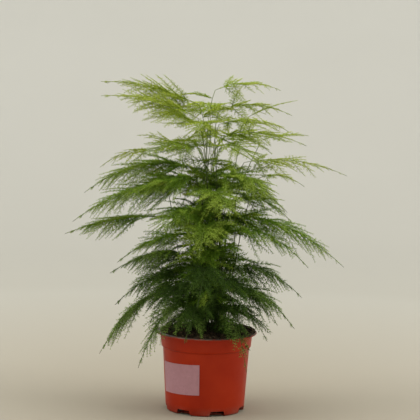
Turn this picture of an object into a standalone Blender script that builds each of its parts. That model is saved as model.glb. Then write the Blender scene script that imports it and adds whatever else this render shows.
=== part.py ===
"""Potted lace fern: a clump of wiry stems, each ending in a flat feathered frond, in a nursery pot.

Metres, +Z up. The origin is the middle of the pot's flat base, and -Y is the side with the sticker.
Every frond is one closed body: a stem that stands in its own hole in the soil, the rachis that
it bends over into, side branches to the left and right in turn, and teeth along each branch.
"""

import math
from collections import namedtuple

import bpy
import numpy as np
from mathutils.bvhtree import BVHTree

# Pot
POT_HEIGHT = 0.0935
RIM_RADIUS = 0.060
RIM_DEPTH = 0.0020
BAND_TOP_RADIUS = 0.0546
BAND_RADIUS = 0.0531
BAND_HEIGHT = 0.0170
SHOULDER_RADIUS = 0.0512
BASE_RADIUS = 0.0466
SHOULDER_HEIGHT = POT_HEIGHT - RIM_DEPTH - BAND_HEIGHT
FOOT_BEVEL = 0.0014
FLOOR = 0.0018
WALL = 0.0012
POT_SIDES = 36
DRAINS = 7
DRAIN_ANGLE = math.radians(27)
DRAIN_HEIGHT = 0.0062
DRAIN_REACH = 0.010
FIRST_DRAIN = math.radians(-33)

# Sticker on the wall, in angle round the pot from the front
STICKER_FROM = math.radians(-73)
STICKER_TO = math.radians(-8)
STICKER_MIDDLE = 0.0424
STICKER_HEIGHT = 0.0361
STICKER_TILT = math.radians(2.4)
STICKER_THICK = 0.00035
STICKER_COLUMNS = 14

# Soil
GAP = 0.0003
SOIL_RADIUS = BAND_TOP_RADIUS - WALL - GAP
SOIL_EDGE = POT_HEIGHT - 0.0022
SOIL_MOUND = 0.0046
SOIL_BUMP = 0.0008
SOIL_SIDES = POT_SIDES
SOIL_RINGS = 5
HOLE_DEPTH = 0.010
HOLE_ROOM = 0.0004

# Fronds
STEM_HALF = 0.00070
RACHIS_HALF = 0.00055
RACHIS_END_HALF = 0.00042
BRANCH_HALF = 0.00040
STEM_RINGS = 5
ROOT_PLUG = 0.008
ROOT_STANDS = 0.006
BEND_REACH = 0.018
NODE_PITCH = 0.0104
TOOTH_PITCH = 0.0165
TOOTH_REACH = 0.0075
TOOTH_SWEEP = 0.8
FIRST_NODE = 0.08
WHIP = 0.15
BRANCH_ANGLES = (math.radians(63), math.radians(38))
BRANCH_CURL = 0.16
BRANCH_SAG = {"upper": 0.05, "middle": 0.16, "lower": 0.32}
SHORTEST_BRANCH = 0.007
SPREAD_FROM = 0.16
SWELL = 0.00020
SEED = 20

# The clump: stems stand on an uneven grid, those of low or leaning fronds further out
CLUMP_RADIUS = 0.026
ROOT_PITCH = 0.0058
ROOT_JITTER = 0.0004
CLUMP_ROWS = 6
ROOT_TRIES = 12
FULL_HEIGHT = 0.374
OUTER_FALL = 0.253
OUTER_LEAN = 0.120

# A side branch that would meet another is lifted, lowered or shortened in these steps
BRANCH_LIFTS = (0.0, math.radians(8), math.radians(-8))
BRANCH_SCALES = (1.0, 0.85, 0.7, 0.55, 0.4)
RIM_KEEP_OUT = (RIM_RADIUS + 0.0015, POT_HEIGHT + 0.0055)

UP = np.array([0.0, 0.0, 1.0])

Frond = namedtuple("Frond", "turn bend_r bend_z tip_r tip_z arch roll width")

# turn and roll in degrees, the rest in millimetres. turn 0 is right, 90 away, 180 left and -90
# towards the front. bend is where the stem becomes the rachis, and tip is the rachis's end, each
# as radius and height. arch is how far the rachis's middle rises over the straight line.
# width is the longest side branch.
UPPER = [
    Frond(176, 14, 360, 131, 385, 8, 12, 46),
    Frond(194, 16, 345, 131, 369, 9, -10, 46),
    Frond(14, 4, 378, 84, 379, 9, 8, 36),
    Frond(-14, 10, 356, 96, 351, 9, -12, 40),
    Frond(4, 44, 348, 101, 368, 3, 0, 18),
    Frond(38, 12, 338, 128, 325, 11, 8, 44),
    Frond(-27, 14, 325, 122, 318, 9, -8, 42),
    Frond(14, 62, 320, 120, 326, 4, 10, 34),
    Frond(5, 40, 294, 163, 280, 10, 6, 46),
    Frond(-11, 58, 277, 112, 269, 8, -6, 30),
    Frond(187, 66, 306, 129, 286, 8, 14, 34),
    Frond(163, 24, 301, 92, 322, 8, -14, 34),
    Frond(142, 16, 332, 92, 347, 8, 10, 38),
    Frond(96, 10, 348, 118, 354, 10, 0, 44),
    Frond(68, 16, 316, 128, 310, 11, 6, 46),
    Frond(118, 18, 308, 130, 300, 12, -8, 46),
    Frond(-98, 10, 336, 112, 322, 12, 4, 44),
    Frond(-62, 14, 312, 122, 293, 12, 8, 44),
    Frond(-136, 16, 310, 124, 296, 12, -8, 44),
]
MIDDLE = [
    Frond(173, 10, 283, 150, 253, 20, 8, 50),
    Frond(184, 16, 264, 160, 221, 18, -8, 50),
    Frond(177, 26, 225, 171, 204, 11, 10, 46),
    Frond(-4, 14, 265, 92, 237, 13, -10, 44),
    Frond(-3, 24, 231, 160, 174, 17, 8, 50),
    Frond(20, 26, 249, 108, 219, 14, -6, 44),
    Frond(-95, 24, 221, 116, 192, 12, 4, 42),
    Frond(201, 28, 208, 112, 178, 10, 0, 36),
    Frond(-152, 18, 271, 130, 239, 15, 8, 46),
    Frond(-44, 18, 277, 118, 245, 15, -8, 46),
    Frond(-78, 16, 259, 126, 231, 14, 8, 46),
    Frond(46, 18, 273, 122, 237, 16, 8, 46),
    Frond(86, 18, 271, 142, 239, 16, -8, 48),
    Frond(134, 18, 269, 144, 235, 16, 8, 48),
    Frond(-122, 22, 239, 122, 204, 14, 6, 44),
    Frond(112, 22, 231, 134, 192, 15, 6, 46),
    Frond(60, 24, 225, 134, 186, 15, -6, 46),
    Frond(-24, 26, 217, 126, 178, 14, 6, 42),
]
LOWER = [
    Frond(189, 22, 184, 116, 162, 11, 6, 44),
    Frond(190, 40, 138, 127, 67, 22, 8, 34),
    Frond(216, 36, 128, 96, 58, 20, -6, 28),
    Frond(-3, 30, 172, 112, 136, 12, 6, 40),
    Frond(-22, 34, 144, 110, 105, 14, -6, 38),
    Frond(28, 36, 136, 98, 93, 16, 6, 36),
    Frond(-53, 34, 121, 78, 57, 22, 0, 24),
    Frond(-169, 28, 162, 110, 125, 13, -6, 38),
    Frond(-131, 28, 152, 98, 113, 13, 6, 38),
    Frond(-96, 26, 172, 106, 136, 14, 6, 40),
    Frond(-62, 28, 160, 104, 119, 14, -6, 38),
    Frond(58, 28, 166, 108, 125, 14, 6, 40),
    Frond(92, 28, 170, 112, 128, 14, -6, 40),
    Frond(128, 28, 162, 110, 121, 14, 6, 40),
    Frond(157, 32, 142, 104, 99, 14, -6, 36),
    Frond(-106, 32, 130, 88, 93, 12, 0, 30),
    Frond(-35, 32, 128, 86, 91, 12, 0, 30),
    Frond(76, 32, 130, 88, 93, 12, 0, 30),
]

TIERS = {"upper": UPPER, "middle": MIDDLE, "lower": LOWER}

# Linear base colour, roughness
FINISHES = {
    "terracotta_plastic": ((0.40, 0.035, 0.012, 1.0), 0.42),
    "peat": ((0.016, 0.011, 0.008, 1.0), 0.95),
    "paper_sticker": ((0.52, 0.36, 0.38, 1.0), 0.55),
    "upper": ((0.22, 0.33, 0.03, 1.0), 0.60),
    "middle": ((0.085, 0.18, 0.022, 1.0), 0.60),
    "lower": ((0.03, 0.075, 0.018, 1.0), 0.62),
}


def clear_scene():
    for obj in list(bpy.data.objects):
        bpy.data.objects.remove(obj)


def material(name):
    """The Principled material of that finish, made the first time that it is asked for."""
    if name in bpy.data.materials:
        return bpy.data.materials[name]
    colour, roughness = FINISHES[name]
    made = bpy.data.materials.new(name)
    made.use_nodes = True
    shader = made.node_tree.nodes["Principled BSDF"]
    shader.inputs["Base Color"].default_value = colour
    shader.inputs["Roughness"].default_value = roughness
    shader.inputs["Metallic"].default_value = 0.0
    return made


def add_object(name, points, faces, finish):
    mesh = bpy.data.meshes.new(name)
    mesh.from_pydata([tuple(p) for p in points], [], faces)
    mesh.update()
    mesh.materials.append(material(finish))
    obj = bpy.data.objects.new(name, mesh)
    bpy.context.scene.collection.objects.link(obj)
    return obj


def shade_round(obj):
    obj.data.shade_smooth()
    obj.data.set_sharp_from_angle(angle=math.radians(32))


def turned(profile, sides):
    """Points and faces of a profile of (radius, height) turned about Z, closed at both ends.

    The profile's first and last points lie on the axis, and it runs up the outside, then down
    the inside, so the faces point out.
    """
    angles = 2 * math.pi * np.arange(sides) / sides
    points = [(0.0, 0.0, profile[0][1])]
    for radius, height in profile[1:-1]:
        points += [(radius * math.cos(a), radius * math.sin(a), height) for a in angles]
    points.append((0.0, 0.0, profile[-1][1]))
    rings = len(profile) - 2
    last = len(points) - 1
    faces = []
    for i in range(sides):
        j = (i + 1) % sides
        faces.append((0, 1 + j, 1 + i))
        for ring in range(rings - 1):
            low = 1 + ring * sides
            high = low + sides
            faces.append((low + i, low + j, high + j, high + i))
        top = 1 + (rings - 1) * sides
        faces.append((top + i, top + j, last))
    return points, faces


def wall_radius(height):
    """Outer radius of the pot's plain wall at a height, below the band."""
    share = (height - FOOT_BEVEL) / (SHOULDER_HEIGHT - FOOT_BEVEL)
    return BASE_RADIUS + (SHOULDER_RADIUS - BASE_RADIUS) * share


def build_pot():
    """Thin tapered wall, a wider band with a rolled rim, and drain gaps cut through the foot."""
    rim = POT_HEIGHT - RIM_DEPTH
    outside = [
        (0.0, 0.0),
        (BASE_RADIUS - FOOT_BEVEL, 0.0),
        (BASE_RADIUS, FOOT_BEVEL),
        (SHOULDER_RADIUS, SHOULDER_HEIGHT),
        (BAND_RADIUS, SHOULDER_HEIGHT + 0.0015),
        (BAND_TOP_RADIUS, rim - 0.0008),
        (RIM_RADIUS - 0.0006, rim),
        (RIM_RADIUS, rim + 0.0008),
        (RIM_RADIUS - 0.0006, POT_HEIGHT),
    ]
    inside = [
        (BAND_TOP_RADIUS, POT_HEIGHT),
        (BAND_TOP_RADIUS - WALL, rim),
        (BAND_RADIUS - WALL, SHOULDER_HEIGHT + 0.0021),
        (SHOULDER_RADIUS - WALL, SHOULDER_HEIGHT + 0.0006),
        (BASE_RADIUS - WALL, FLOOR + FOOT_BEVEL),
        (BASE_RADIUS - WALL - FOOT_BEVEL, FLOOR),
        (0.0, FLOOR),
    ]
    points, faces = turned(outside + inside, POT_SIDES)
    pot = add_object("pot", points, faces, "terracotta_plastic")
    shade_round(pot)
    cut = pot.modifiers.new("drain_gaps", "BOOLEAN")
    cut.operation = "DIFFERENCE"
    cut.object = drain_cutter()
    return pot


def drain_cutter():
    """The drain gaps as separate wedges in one helper object."""
    points, faces = [], []
    inner, outer = BASE_RADIUS - DRAIN_REACH, BASE_RADIUS + 0.004
    for k in range(DRAINS):
        middle = FIRST_DRAIN + 2 * math.pi * k / DRAINS
        a = len(points)
        for height, narrow in ((-0.002, 1.0), (DRAIN_HEIGHT, 0.72)):
            for radius, share in ((inner, -1), (outer, -1), (outer, 1), (inner, 1)):
                angle = middle + share * narrow * DRAIN_ANGLE / 2
                points.append((radius * math.sin(angle), -radius * math.cos(angle), height))
        faces += [(a + 3, a + 2, a + 1, a), (a + 4, a + 5, a + 6, a + 7)]
        faces += [(a + i, a + (i + 1) % 4, a + 4 + (i + 1) % 4, a + 4 + i) for i in range(4)]
    return helper(add_object("drain_cutter", points, faces, "terracotta_plastic"))


def helper(obj):
    obj.hide_render = True
    obj.display_type = "WIRE"
    return obj


def build_sticker():
    """A paper sticker bent round the tapered wall, a little crooked."""
    angles = np.linspace(STICKER_FROM, STICKER_TO, STICKER_COLUMNS + 1)
    middle = (STICKER_FROM + STICKER_TO) / 2
    points, faces = [], []
    for angle in angles:
        lift = math.tan(STICKER_TILT) * (angle - middle) * wall_radius(STICKER_MIDDLE)
        for out in (GAP, GAP + STICKER_THICK):
            for end in (-0.5, 0.5):
                height = STICKER_MIDDLE + lift + end * STICKER_HEIGHT
                radius = wall_radius(height) + out
                points.append((radius * math.sin(angle), -radius * math.cos(angle), height))
    for k in range(STICKER_COLUMNS):
        a, b = 4 * k, 4 * k + 4
        faces += [(a, a + 1, b + 1, b), (a + 2, b + 2, b + 3, a + 3)]
        faces += [(a, b, b + 2, a + 2), (a + 1, a + 3, b + 3, b + 1)]
    end = 4 * STICKER_COLUMNS
    faces += [(0, 2, 3, 1), (end, end + 1, end + 3, end + 2)]
    shade_round(add_object("sticker", points, faces, "paper_sticker"))


def soil_height(x, y):
    """Height of the soil: a low mound with uneven crumbs, from two crossing waves."""
    share = min(1.0, math.hypot(x, y) / SOIL_RADIUS)
    crumbs = math.sin(410 * x + 1.3) * math.cos(370 * y) + 0.6 * math.sin(690 * (x - y) + 0.4)
    return SOIL_EDGE + SOIL_MOUND * (1 - share**3) + SOIL_BUMP * crumbs * (1 - 0.5 * share**6)


def build_soil(skeletons):
    """Peat that fills the pot, with a plain hole for each stem."""
    side = [
        (0.0, FLOOR + GAP),
        (BASE_RADIUS - WALL - FOOT_BEVEL - GAP, FLOOR + GAP),
        (BASE_RADIUS - WALL - GAP, FLOOR + FOOT_BEVEL + GAP),
        (SHOULDER_RADIUS - WALL - GAP, SHOULDER_HEIGHT + 0.0009),
        (BAND_RADIUS - WALL - GAP, SHOULDER_HEIGHT + 0.0024),
    ]
    radii = SOIL_RADIUS * np.arange(SOIL_RINGS, 0, -1) / SOIL_RINGS
    profile = side + [(radius, SOIL_EDGE) for radius in radii] + [(0.0, SOIL_EDGE)]
    points, faces = turned(profile, SOIL_SIDES)
    first_top = 1 + (len(side) - 1) * SOIL_SIDES
    points = points[:first_top] + [(x, y, soil_height(x, y)) for x, y, _ in points[first_top:]]
    triangles = []
    for face in faces:
        triangles += [face] if len(face) == 3 else [face[:3], (face[0], face[2], face[3])]
    soil = add_object("soil", points, triangles, "peat")
    cut = soil.modifiers.new("stem_holes", "BOOLEAN")
    cut.operation = "DIFFERENCE"
    cut.object = hole_cutter(skeletons)


def hole_cutter(skeletons):
    """A square prism round each stem's foot, in one helper object."""
    points, faces = [], []
    half = STEM_HALF + HOLE_ROOM
    for skeleton in skeletons:
        x, y, _ = skeleton.root
        a = len(points)
        along = np.array([math.cos(skeleton.turn), math.sin(skeleton.turn)])
        left = np.array([-along[1], along[0]])
        floor = soil_height(x, y) - HOLE_DEPTH
        for height in (floor, POT_HEIGHT + 0.02):
            for i, j in ((-1, -1), (1, -1), (1, 1), (-1, 1)):
                spot = np.array([x, y]) + half * (i * along + j * left)
                points.append((spot[0], spot[1], height))
        faces += [(a + 3, a + 2, a + 1, a), (a + 4, a + 5, a + 6, a + 7)]
        faces += [(a + i, a + (i + 1) % 4, a + 4 + (i + 1) % 4, a + 4 + i) for i in range(4)]
    return helper(add_object("hole_cutter", points, faces, "peat"))


def unit(v):
    return v / np.linalg.norm(v)


class Skeleton:
    """A frond's lines: its stem, its rachis, and its side branches."""

    def __init__(self, frond, index, tier, root):
        draw = np.random.default_rng(SEED + index)
        angle = math.radians(frond.turn)
        out = np.array([math.cos(angle), math.sin(angle), 0.0])
        self.turn = angle
        self.left = np.array([-out[1], out[0], 0.0])
        self.roll = math.radians(frond.roll)
        self.bend = out * frond.bend_r / 1000 + UP * frond.bend_z / 1000
        self.tip = out * frond.tip_r / 1000 + UP * frond.tip_z / 1000
        bow = draw.uniform(-0.006, 0.006)
        arch = UP * 2 * frond.arch / 1000
        self.middle = (self.bend + self.tip) / 2 + arch + self.left * bow
        self.root = np.array([*root, soil_height(*root)])
        self.sag = BRANCH_SAG[tier]
        self.width = frond.width / 1000
        length = np.linalg.norm(self.tip - self.bend)
        self.count = max(5, round(length * (1 - WHIP - FIRST_NODE) / NODE_PITCH))
        self.stretch = draw.uniform(0.84, 1.08, 40)
        self.swing = np.radians(draw.uniform(-4, 4, 40))
        self.lift = np.radians(draw.uniform(-5, 7, 40))
        self.first_side = 1 if draw.random() < 0.5 else -1

    def rachis(self, t):
        """Point and direction at share t: a quadratic curve from the bend over to the tip."""
        a, b, c = self.bend, self.middle, self.tip
        point = (1 - t) ** 2 * a + 2 * t * (1 - t) * b + t * t * c
        return point, unit(2 * (1 - t) * (b - a) + 2 * t * (c - b))

    def stem(self, t):
        """Point and direction at share t: a cubic curve from above the soil into the rachis."""
        a = self.root + UP * ROOT_STANDS
        d = self.bend
        rise = d[2] - a[2]
        b = a + UP * 0.5 * rise
        c = d - unit(self.middle - self.bend) * min(BEND_REACH, 0.3 * rise)
        c = c - UP * 0.12 * rise
        s = 1 - t
        point = s**3 * a + 3 * s * s * t * b + 3 * s * t * t * c + t**3 * d
        slope = 3 * s * s * (b - a) + 6 * s * t * (c - b) + 3 * t * t * (d - c)
        return point, unit(slope)

    def sides(self, along, roll):
        """Left and up at a point of the line, rolled about it."""
        left = unit(self.left - np.dot(self.left, along) * along)
        up = np.cross(along, left)
        return (
            math.cos(roll) * left + math.sin(roll) * up,
            math.cos(roll) * up - math.sin(roll) * left,
        )

    def node_share(self, k):
        """Share along the rachis of node k, counted in nodes from the first."""
        return FIRST_NODE + (1 - WHIP - FIRST_NODE) * k / self.count

    def side_of(self, k):
        return self.first_side * (1 if k % 2 else -1)

    def branch(self, k, scale=1.0, lift=0.0):
        """Side branch k as its length, and its line as share u to point, direction, left, up."""
        share = (k + 0.5) / self.count
        point, along = self.rachis(self.node_share(k + 0.5))
        left, up = self.sides(along, self.roll)
        side = self.side_of(k)
        fill = 0.5 + 0.5 * min(1.0, share / SPREAD_FROM)
        length = self.width * fill * (1 - share) ** 0.72 * self.stretch[k]
        length = max(length * scale, SHORTEST_BRANCH)
        wide, narrow = BRANCH_ANGLES
        angle = wide + (narrow - wide) * share + self.swing[k]
        flat = math.cos(angle) * along + math.sin(angle) * side * left
        lift = lift + self.lift[k]
        start = math.cos(lift) * flat + math.sin(lift) * up
        curl = BRANCH_CURL * along - self.sag * UP

        def at(u):
            spot = point + length * (u * start + u * u * curl)
            heading = unit(start + 2 * u * curl)
            own_left = unit(np.cross(up, heading))
            return spot, heading, own_left, np.cross(heading, own_left)

        return length, at


class Body:
    """A closed mesh grown from rings of four corners: left top, right top, right, left bottom.

    extra swells every section, for a body that only tests whether there is room.
    """

    def __init__(self, extra=0.0):
        self.points = []
        self.faces = []
        self.extra = extra

    def ring(self, point, left, up, half_wide, half_thick):
        wide = left * (half_wide + self.extra)
        thick = up * (half_thick + self.extra)
        start = len(self.points)
        self.points += [
            point + wide + thick,
            point - wide + thick,
            point - wide - thick,
            point + wide - thick,
        ]
        return [start, start + 1, start + 2, start + 3]

    def quad(self, a, b, c, d):
        self.faces += [(a, b, c), (a, c, d)]

    def spike(self, base, tip):
        """Four faces from a ring of corners to one point."""
        middle = sum(self.points[i] for i in base) / 4
        self.points.append(tip + unit(tip - middle) * self.extra * 1.5)
        last = len(self.points) - 1
        for i in range(4):
            self.faces.append((base[i], base[(i + 1) % 4], last))

    def join(self, a, b, open_left=False, open_right=False):
        """Faces between two rings. An open side gives back its four corners as a new ring."""
        self.quad(a[0], a[1], b[1], b[0])
        self.quad(a[2], a[3], b[3], b[2])
        mouths = {}
        if open_left:
            mouths["left"] = [a[0], b[0], b[3], a[3]]
        else:
            self.quad(a[3], a[0], b[0], b[3])
        if open_right:
            mouths["right"] = [b[1], a[1], a[2], b[2]]
        else:
            self.quad(a[1], a[2], b[2], b[1])
        return mouths

    def tree(self):
        return BVHTree.FromPolygons([tuple(p) for p in self.points], self.faces)


def grow_branch(body, ring, length, at):
    """A toothed side branch from a ring at its foot out to a point."""
    pairs = round(length / TOOTH_PITCH)
    shares = np.linspace(0.0, 0.82, pairs + 1)
    for near, far in zip(shares[:-1], shares[1:]):
        spot, heading, left, up = at(far)
        following = body.ring(spot, left, up, BRANCH_HALF, BRANCH_HALF)
        mouths = body.join(ring, following, True, True)
        middle, heading, left, up = at(near + (far - near) * 0.6)
        reach = TOOTH_REACH * (1 - 0.5 * (near + far) / 2)
        for name, corners in mouths.items():
            way = 1 if name == "left" else -1
            body.spike(corners, middle + reach * (way * left + TOOTH_SWEEP * heading))
        ring = following
    body.spike(ring, at(1.0)[0])


def rachis_ring(body, skeleton, k):
    """The ring of the rachis at node k."""
    point, along = skeleton.rachis(skeleton.node_share(k))
    left, up = skeleton.sides(along, skeleton.roll)
    half = RACHIS_HALF + (RACHIS_END_HALF - RACHIS_HALF) * k / skeleton.count
    return body.ring(point, left, up, half, half)


def branch_body(skeleton, k, scale, lift):
    """A side branch by itself, swollen, with the length of rachis that it grows from."""
    body = Body(SWELL)
    near, far = [rachis_ring(body, skeleton, node) for node in (k, k + 1)]
    side = skeleton.side_of(k)
    mouths = body.join(near, far, side > 0, side < 0)
    grow_branch(body, *mouths.values(), *skeleton.branch(k, scale, lift))
    return body


def grow_axis(body, skeleton, limbs):
    """Stem and rachis, with the mouths that the side branches in limbs need, as {k: ring}."""
    plug = skeleton.root - UP * ROOT_PLUG
    ahead = np.cross(skeleton.left, UP)
    ring = body.ring(plug, skeleton.left, -ahead, STEM_HALF, STEM_HALF)
    body.quad(*ring[::-1])
    for share in np.linspace(0.0, 1.0, STEM_RINGS):
        point, along = skeleton.stem(share)
        left, up = skeleton.sides(along, skeleton.roll * share**3)
        half = STEM_HALF + (RACHIS_HALF - STEM_HALF) * share
        following = body.ring(point, left, up, half, half)
        body.join(ring, following)
        ring = following
    mouths = {}
    for k in range(skeleton.count + 1):
        following = rachis_ring(body, skeleton, k)
        side = skeleton.side_of(k - 1) if k - 1 in limbs else 0
        for mouth in body.join(ring, following, side > 0, side < 0).values():
            mouths[k - 1] = mouth
        ring = following
    body.spike(ring, skeleton.tip)
    return mouths


def grow_frond(skeleton, limbs):
    """The frond's whole body. limbs gives the scale and the lift of each side branch it has."""
    body = Body()
    mouths = grow_axis(body, skeleton, limbs)
    for k, mouth in mouths.items():
        grow_branch(body, mouth, *skeleton.branch(k, *limbs[k]))
    return body


class Room:
    """The space taken so far, as swollen bodies with their boxes."""

    def __init__(self):
        self.trees = []
        self.lows = []
        self.highs = []
        self.owners = []

    def boxes(self, body):
        points = np.array(body.points)
        return points.min(axis=0), points.max(axis=0)

    def add(self, body, owner):
        low, high = self.boxes(body)
        self.trees.append(body.tree())
        self.lows.append(low)
        self.highs.append(high)
        self.owners.append(owner)

    def taken(self, body, joined=()):
        """Owners of the bodies that this one meets, leaving out those that it is joined to."""
        low, high = self.boxes(body)
        near = (np.array(self.lows) <= high).all(axis=1) & (np.array(self.highs) >= low).all(axis=1)
        tree = body.tree()
        return [
            self.owners[i]
            for i in np.flatnonzero(near)
            if self.owners[i] not in joined and tree.overlap(self.trees[i])
        ]


def over_rim(points):
    """Whether something comes down over the pot's rim or into it."""
    radius, height = RIM_KEEP_OUT
    free = np.array(points)
    inside = np.hypot(free[:, 0], free[:, 1]) < radius
    return bool((inside & (free[:, 2] < height)).any())


def fit_branch(skeleton, index, k, room):
    """The scale and the lift with which side branch k finds room, or None."""
    joined = (index, (index, k - 1))
    for scale in BRANCH_SCALES:
        for lift in BRANCH_LIFTS:
            body = branch_body(skeleton, k, scale, lift)
            if not over_rim(body.points) and not room.taken(body, joined):
                room.add(body, (index, k))
                return scale, lift
    return None


def fit_branches(skeleton, index, room):
    """The scale and the lift of each side branch that finds room, as {k: (scale, lift)}."""
    fitted = {k: fit_branch(skeleton, index, k, room) for k in range(skeleton.count)}
    return {k: choice for k, choice in fitted.items() if choice}


def axis_body(skeleton):
    body = Body(SWELL)
    grow_axis(body, skeleton, {})
    return body


def root_spots():
    """Places for the stems: a triangular grid in the middle of the soil, a little uneven."""
    draw = np.random.default_rng(SEED)
    spots = []
    for row in range(-CLUMP_ROWS, CLUMP_ROWS + 1):
        for column in range(-CLUMP_ROWS, CLUMP_ROWS + 1):
            x = (column + 0.5 * (row % 2)) * ROOT_PITCH
            y = row * ROOT_PITCH * math.sqrt(3) / 2
            shift = draw.uniform(-ROOT_JITTER, ROOT_JITTER, 2)
            if math.hypot(x, y) < CLUMP_RADIUS:
                spots.append((x + shift[0], y + shift[1]))
    return spots


def stand(frond, index, tier, spots, room):
    """The frond on the free spot nearest to its wish on which its stem and rachis are clear."""
    fall = (FULL_HEIGHT - frond.bend_z / 1000) / OUTER_FALL + frond.bend_r / 1000 / OUTER_LEAN
    reach = CLUMP_RADIUS * min(1.0, max(0.0, fall)) ** 0.7
    x, y = reach * math.cos(math.radians(frond.turn)), reach * math.sin(math.radians(frond.turn))
    spots.sort(key=lambda spot: math.hypot(spot[0] - x, spot[1] - y))
    for spot in spots[:ROOT_TRIES]:
        skeleton = Skeleton(frond, index, tier, spot)
        axis = axis_body(skeleton)
        if not room.taken(axis):
            room.add(axis, index)
            spots.remove(spot)
            return skeleton
    raise ValueError(f"{tier} frond {index} has no clear place to stand")


def build_fronds(pot):
    """All fronds: first every stem and rachis, then the side branches where there is room."""
    room = Room()
    wall = Body()
    wall.points = [np.array(v.co) for v in pot.data.vertices]
    wall.faces = [tuple(f.vertices) for f in pot.data.polygons]
    room.add(wall, "pot")
    spots = root_spots()
    skeletons = []
    for tier, fronds in TIERS.items():
        for frond in fronds:
            skeletons.append(stand(frond, len(skeletons), tier, spots, room))
    names = [f"{tier}_frond_{k:02d}" for tier in TIERS for k in range(1, len(TIERS[tier]) + 1)]
    for index, (name, skeleton) in enumerate(zip(names, skeletons)):
        body = grow_frond(skeleton, fit_branches(skeleton, index, room))
        add_object(name, body.points, body.faces, name.split("_")[0])
    return skeletons


clear_scene()
build_soil(build_fronds(build_pot()))
build_sticker()
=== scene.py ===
"""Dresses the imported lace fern: its pot, sticker, soil and 55 feathered fronds, in a plain studio.

Metres, +Z up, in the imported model's own frame. The origin is the middle of the pot's flat base, and
-Y is the side with the sticker. Each frond grows along the same lines as its CAD node.
"""

import math
from collections import namedtuple

import bpy
import numpy as np
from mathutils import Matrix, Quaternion


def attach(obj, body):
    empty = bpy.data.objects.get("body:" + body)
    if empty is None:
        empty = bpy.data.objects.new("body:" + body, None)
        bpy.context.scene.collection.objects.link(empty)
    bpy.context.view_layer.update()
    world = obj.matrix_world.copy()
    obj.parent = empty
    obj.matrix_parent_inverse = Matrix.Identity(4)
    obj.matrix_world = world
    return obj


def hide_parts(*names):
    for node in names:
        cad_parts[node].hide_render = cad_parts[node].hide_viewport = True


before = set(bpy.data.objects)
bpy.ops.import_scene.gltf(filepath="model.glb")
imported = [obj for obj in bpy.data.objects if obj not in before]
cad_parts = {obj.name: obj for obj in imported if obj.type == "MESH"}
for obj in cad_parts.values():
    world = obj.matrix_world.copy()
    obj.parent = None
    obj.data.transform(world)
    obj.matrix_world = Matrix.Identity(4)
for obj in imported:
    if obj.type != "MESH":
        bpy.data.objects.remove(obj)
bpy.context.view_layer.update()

# The pot
# An injection-moulded nursery pot of thin polypropylene, 12 cm across: a tapered wall, a straighter
# band that the next pot of a stack rests in, a lip turned outwards, and a foot with gaps for water.

POT_HEIGHT = 0.0935
RIM_RADIUS = 0.060
RIM_DEPTH = 0.0020
BAND_TOP_RADIUS = 0.0546
BAND_RADIUS = 0.0531
BAND_HEIGHT = 0.0170
SHOULDER_RADIUS = 0.0512
BASE_RADIUS = 0.0466
SHOULDER_HEIGHT = POT_HEIGHT - RIM_DEPTH - BAND_HEIGHT
BAND_STEP = 0.0015
INSIDE_RISE = 0.0006
LIP_CHAMFER = 0.0006
LIP_FLANK = 0.0008
SOFTENING = 0.0007
FOOT_BEVEL = 0.0014
FLOOR = 0.0018
WALL = 0.0012
POT_SEGMENTS = 168
DRAINS = 7
DRAIN_ANGLE = math.radians(27)
DRAIN_HEIGHT = 0.0062
DRAIN_REACH = 0.010
DRAIN_OUTSIDE = 0.004
DRAIN_BELOW = 0.002
DRAIN_NARROWS = 0.72
FIRST_DRAIN = math.radians(-33)
SHARP_ANGLE = math.radians(40)
PLASTIC_REDS = ((0.37, 0.018, 0.0015), (0.44, 0.029, 0.0035))
# Dust, dark and pale. On top of the lip, the pale dust is partly a painted highlight.
DUST_AND_SHEEN_COLOURS = ((0.020, 0.014, 0.009), (0.170, 0.130, 0.105))
STUCK_PEAT = (0.030, 0.020, 0.013)
LIP_DUST_AND_SHEEN_DEPTHS = (0.0013, 0.0006)
STUCK_PEAT_REACH = 0.0026
STUCK_PEAT_FULL = 0.0006
STUCK_PEAT_EDGE = 0.0002
FOOT_DUST_HEIGHT = 0.011
FOOT_DUST = 0.45


def softened(corners, cut, steps=5):
    """An outline with each inner corner rounded: a quadratic curve that leaves the side before the
    corner and joins the side after it, each at the distance cut, or at 45% of a shorter side."""
    corners = np.array(corners)
    points = [corners[:1]]
    share = np.linspace(0, 1, steps)[:, None]
    for before, corner, after in zip(corners[:-2], corners[1:-1], corners[2:]):
        reach_in = min(cut, 0.45 * np.linalg.norm(before - corner))
        reach_out = min(cut, 0.45 * np.linalg.norm(after - corner))
        start = corner + reach_in * (before - corner) / np.linalg.norm(before - corner)
        end = corner + reach_out * (after - corner) / np.linalg.norm(after - corner)
        points.append((1 - share) ** 2 * start + 2 * share * (1 - share) * corner + share**2 * end)
    return np.concatenate(points + [corners[-1:]])


def ring_points(radius, height, segments):
    """Points (r cos a, r sin a, h) on a grid of rings by angles, from columns of r and h."""
    angles = 2 * math.pi * np.arange(segments) / segments
    return np.stack([radius * np.cos(angles), radius * np.sin(angles), height + 0 * angles], axis=2)


def ring_faces(rings, sides):
    """Triangles of a grid of rings: two to a cell, and a fan from each end ring to a pole. The poles
    are the next two points after the grid, the first ring's pole before the last one's."""
    here = np.arange(rings * sides).reshape(rings, sides)
    beside = np.roll(here, -1, axis=1)
    a, b, c, d = here[:-1], beside[:-1], beside[1:], here[1:]
    first, last = np.full(sides, here.size), np.full(sides, here.size + 1)
    corners = [(a, b, c), (a, c, d), (first, beside[0], here[0]), (here[-1], beside[-1], last)]
    return np.concatenate([np.stack(three, axis=-1).reshape(-1, 3) for three in corners])


def turned(profile, segments):
    """Points and triangles of an outline of (radius, height) turned about Z. The outline starts and
    ends on the axis, where one point closes it."""
    grid = ring_points(profile[1:-1, :1], profile[1:-1, 1:], segments)
    poles = np.array([[0, 0, profile[0, 1]], [0, 0, profile[-1, 1]]])
    return np.concatenate([grid.reshape(-1, 3), poles]), ring_faces(len(profile) - 2, segments)


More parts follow.
